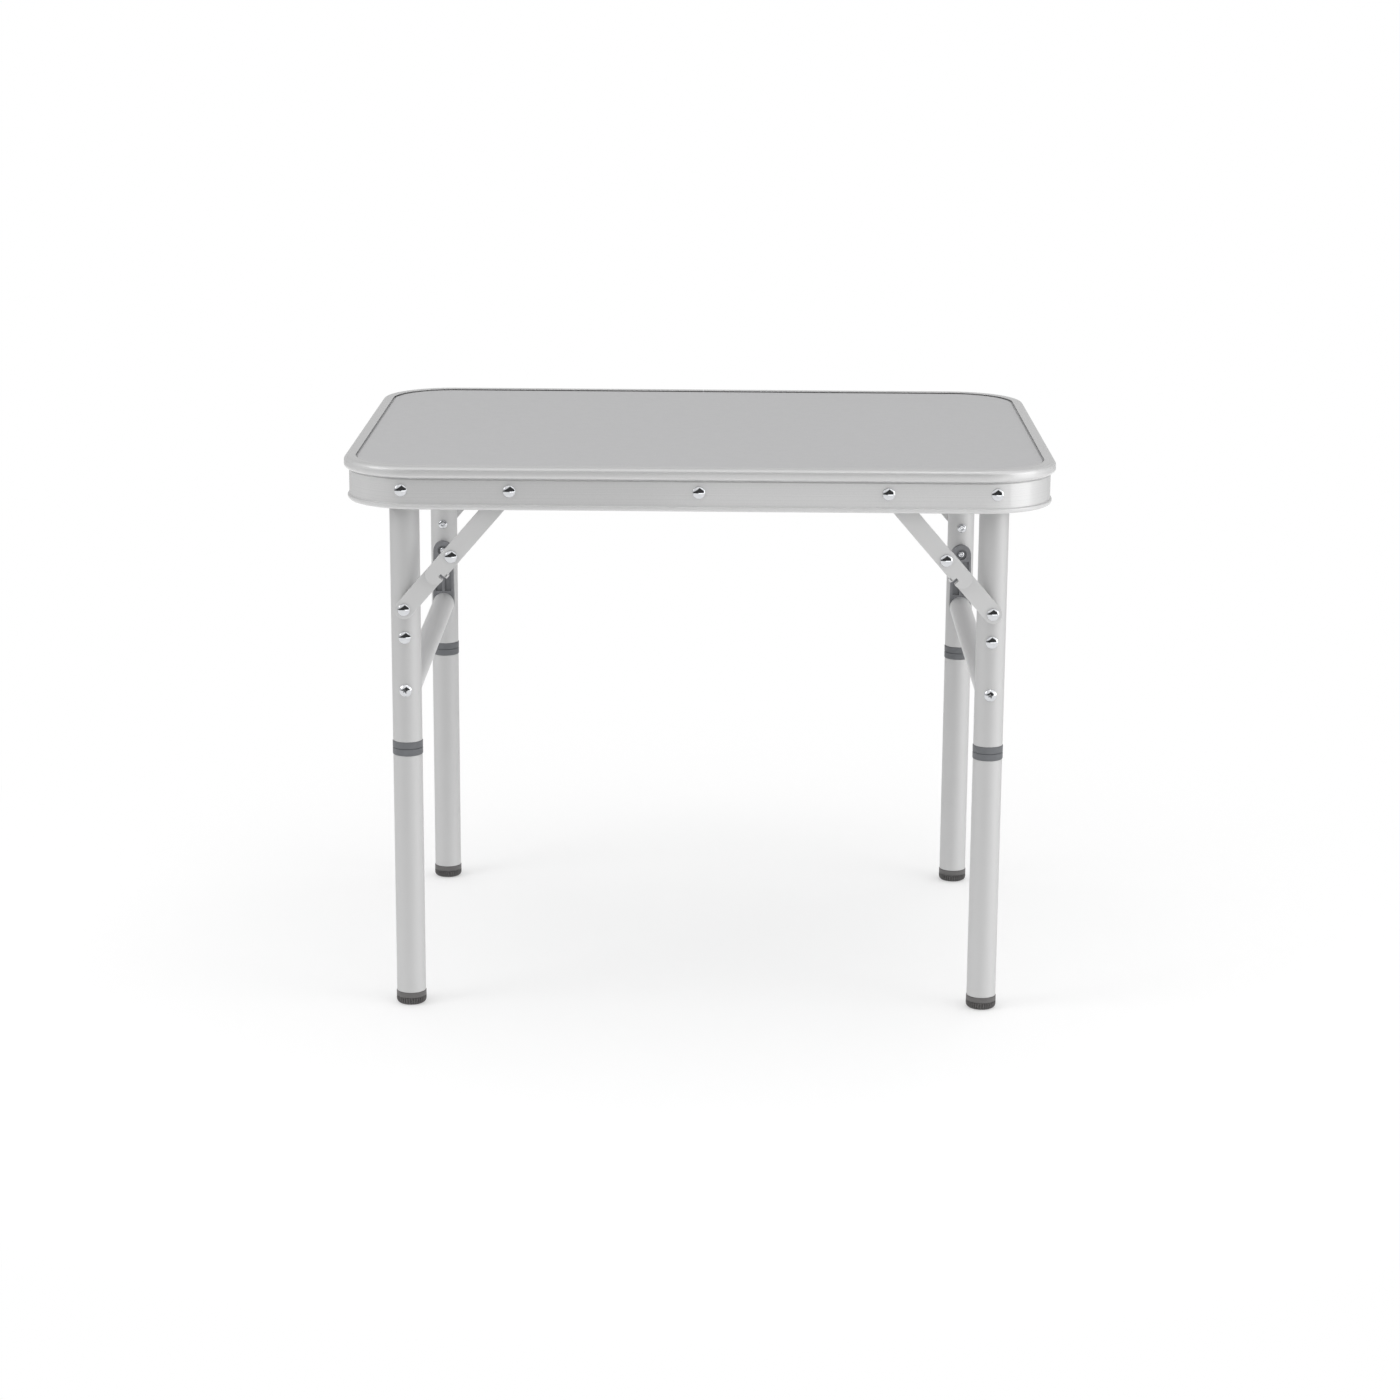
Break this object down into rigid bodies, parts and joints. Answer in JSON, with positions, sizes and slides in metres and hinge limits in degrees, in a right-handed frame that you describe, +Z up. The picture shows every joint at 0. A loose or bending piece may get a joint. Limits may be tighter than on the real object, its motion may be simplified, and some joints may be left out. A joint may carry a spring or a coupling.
{
  "type": "folding camping table",
  "caption": "Low folding camping table: rounded laminate top in an aluminium edge frame, hinged tubular leg frames with folding braces, screw-on leg extensions and screw feet.",
  "frame": {"origin": "on the floor, under the middle of the table top", "axes": "+Z up, +X along the width, -Y to the front"},
  "size_m": [0.6, 0.45, 0.476],
  "materials": {
    "frame_aluminium": "satin anodised extrusion",
    "panel_laminate": "grey laminate on board",
    "batten_aluminium": "mill finish flat bar",
    "leg_aluminium": "satin anodised tube",
    "brace_aluminium": "satin strip",
    "rivet_steel": "bright zinc plate",
    "collar_plastic": "moulded grey",
    "foot_plastic": "moulded grey, ribbed",
    "bracket_plastic": "moulded dark grey",
    "bush_plastic": "moulded dark grey"
  },
  "bodies": {
    "table_top": {"edge_frame": "frame_aluminium", "tabletop_panel": "panel_laminate", "centre_batten": "batten_aluminium", "leg_pivot_rivets": "rivet_steel", "brace_frame_rivets": "rivet_steel", "batten_rivets": "rivet_steel", "leg_pivot_bushes": "bush_plastic", "brace_spacers": "bush_plastic"},
    "left_leg_frame": {"left_crossbar": "leg_aluminium", "left_bracket_rivets": "rivet_steel", "left_brace_leg_rivets": "rivet_steel", "left_crossbar_screws": "rivet_steel", "front_left_upper_leg": "leg_aluminium", "front_left_leg_insert": "collar_plastic", "front_left_crossbar_bracket": "bracket_plastic", "rear_left_upper_leg": "leg_aluminium", "rear_left_leg_insert": "collar_plastic", "rear_left_crossbar_bracket": "bracket_plastic"},
    "right_leg_frame": {"right_crossbar": "leg_aluminium", "right_bracket_rivets": "rivet_steel", "right_brace_leg_rivets": "rivet_steel", "right_crossbar_screws": "rivet_steel", "front_right_upper_leg": "leg_aluminium", "front_right_leg_insert": "collar_plastic", "front_right_crossbar_bracket": "bracket_plastic", "rear_right_upper_leg": "leg_aluminium", "rear_right_leg_insert": "collar_plastic", "rear_right_crossbar_bracket": "bracket_plastic"},
    "front_left_top_brace": {"front_left_top_link": "brace_aluminium", "front_left_middle_rivet": "rivet_steel"},
    "front_left_low_brace": {"front_left_low_link": "brace_aluminium", "front_left_middle_rivet_tail": "rivet_steel"},
    "front_left_extension": {"front_left_extension_tube": "leg_aluminium", "front_left_stud_plug": "collar_plastic", "front_left_foot_insert": "collar_plastic"},
    "front_left_foot": {"front_left_screw_foot": "foot_plastic"},
    "front_right_top_brace": {"front_right_top_link": "brace_aluminium", "front_right_middle_rivet": "rivet_steel"},
    "front_right_low_brace": {"front_right_low_link": "brace_aluminium", "front_right_middle_rivet_tail": "rivet_steel"},
    "front_right_extension": {"front_right_extension_tube": "leg_aluminium", "front_right_stud_plug": "collar_plastic", "front_right_foot_insert": "collar_plastic"},
    "front_right_foot": {"front_right_screw_foot": "foot_plastic"},
    "rear_left_top_brace": {"rear_left_top_link": "brace_aluminium", "rear_left_middle_rivet": "rivet_steel"},
    "rear_left_low_brace": {"rear_left_low_link": "brace_aluminium", "rear_left_middle_rivet_tail": "rivet_steel"},
    "rear_left_extension": {"rear_left_extension_tube": "leg_aluminium", "rear_left_stud_plug": "collar_plastic", "rear_left_foot_insert": "collar_plastic"},
    "rear_left_foot": {"rear_left_screw_foot": "foot_plastic"},
    "rear_right_top_brace": {"rear_right_top_link": "brace_aluminium", "rear_right_middle_rivet": "rivet_steel"},
    "rear_right_low_brace": {"rear_right_low_link": "brace_aluminium", "rear_right_middle_rivet_tail": "rivet_steel"},
    "rear_right_extension": {"rear_right_extension_tube": "leg_aluminium", "rear_right_stud_plug": "collar_plastic", "rear_right_foot_insert": "collar_plastic"},
    "rear_right_foot": {"rear_right_screw_foot": "foot_plastic"}
  },
  "joints": [
    {"name": "left_fold", "type": "hinge", "parent": "table_top", "child": "left_leg_frame", "pos_m": [-0.247, 0, 0.4555], "axis": [0, -1, 0], "range_deg": [0, 89.5]},
    {"name": "right_fold", "type": "hinge", "parent": "table_top", "child": "right_leg_frame", "pos_m": [0.247, 0, 0.4555], "axis": [0, 1, 0], "range_deg": [0, 42]},
    {"name": "front_left_top_brace_turn", "type": "hinge", "parent": "table_top", "child": "front_left_top_brace", "pos_m": [-0.157, -0.2113, 0.4555], "axis": [0, -1, 0], "range_deg": [0, 130.78]},
    {"name": "front_left_low_brace_turn", "type": "hinge", "parent": "left_leg_frame", "child": "front_left_low_brace", "pos_m": [-0.247, -0.2064, 0.3515], "axis": [0, 1, 0], "range_deg": [0, 139.02]},
    {"name": "front_left_extension_turn", "type": "hinge", "parent": "left_leg_frame", "child": "front_left_extension", "pos_m": [-0.247, -0.19, 0.2291], "axis": [0, 0, 1], "continuous": true},
    {"name": "front_left_foot_screw", "type": "slide", "parent": "front_left_extension", "child": "front_left_foot", "axis": [0, 0, -1], "range_m": [0, 0.005]},
    {"name": "front_right_top_brace_turn", "type": "hinge", "parent": "table_top", "child": "front_right_top_brace", "pos_m": [0.157, -0.2113, 0.4555], "axis": [0, 1, 0], "range_deg": [0, 73.23]},
    {"name": "front_right_low_brace_turn", "type": "hinge", "parent": "right_leg_frame", "child": "front_right_low_brace", "pos_m": [0.247, -0.2064, 0.3515], "axis": [0, -1, 0], "range_deg": [0, 79.54]},
    {"name": "front_right_extension_turn", "type": "hinge", "parent": "right_leg_frame", "child": "front_right_extension", "pos_m": [0.247, -0.19, 0.2291], "axis": [0, 0, 1], "continuous": true},
    {"name": "front_right_foot_screw", "type": "slide", "parent": "front_right_extension", "child": "front_right_foot", "axis": [0, 0, -1], "range_m": [0, 0.005]},
    {"name": "rear_left_top_brace_turn", "type": "hinge", "parent": "table_top", "child": "rear_left_top_brace", "pos_m": [-0.157, 0.2113, 0.4555], "axis": [0, -1, 0], "range_deg": [0, 130.78]},
    {"name": "rear_left_low_brace_turn", "type": "hinge", "parent": "left_leg_frame", "child": "rear_left_low_brace", "pos_m": [-0.247, 0.2064, 0.3515], "axis": [0, 1, 0], "range_deg": [0, 139.02]},
    {"name": "rear_left_extension_turn", "type": "hinge", "parent": "left_leg_frame", "child": "rear_left_extension", "pos_m": [-0.247, 0.19, 0.2291], "axis": [0, 0, 1], "continuous": true},
    {"name": "rear_left_foot_screw", "type": "slide", "parent": "rear_left_extension", "child": "rear_left_foot", "axis": [0, 0, -1], "range_m": [0, 0.005]},
    {"name": "rear_right_top_brace_turn", "type": "hinge", "parent": "table_top", "child": "rear_right_top_brace", "pos_m": [0.157, 0.2113, 0.4555], "axis": [0, 1, 0], "range_deg": [0, 73.23]},
    {"name": "rear_right_low_brace_turn", "type": "hinge", "parent": "right_leg_frame", "child": "rear_right_low_brace", "pos_m": [0.247, 0.2064, 0.3515], "axis": [0, -1, 0], "range_deg": [0, 79.54]},
    {"name": "rear_right_extension_turn", "type": "hinge", "parent": "right_leg_frame", "child": "rear_right_extension", "pos_m": [0.247, 0.19, 0.2291], "axis": [0, 0, 1], "continuous": true},
    {"name": "rear_right_foot_screw", "type": "slide", "parent": "rear_right_extension", "child": "rear_right_foot", "axis": [0, 0, -1], "range_m": [0, 0.005]}
  ],
  "couplings": [
    {"joint": "front_left_top_brace_turn", "follows": "left_fold", "ratio": 1.4556},
    {"joint": "front_left_low_brace_turn", "follows": "left_fold", "ratio": 1.5477},
    {"joint": "front_right_top_brace_turn", "follows": "right_fold", "ratio": 1.7316},
    {"joint": "front_right_low_brace_turn", "follows": "right_fold", "ratio": 1.882},
    {"joint": "rear_left_top_brace_turn", "follows": "left_fold", "ratio": 1.4556},
    {"joint": "rear_left_low_brace_turn", "follows": "left_fold", "ratio": 1.5477},
    {"joint": "rear_right_top_brace_turn", "follows": "right_fold", "ratio": 1.7316},
    {"joint": "rear_right_low_brace_turn", "follows": "right_fold", "ratio": 1.882}
  ]
}
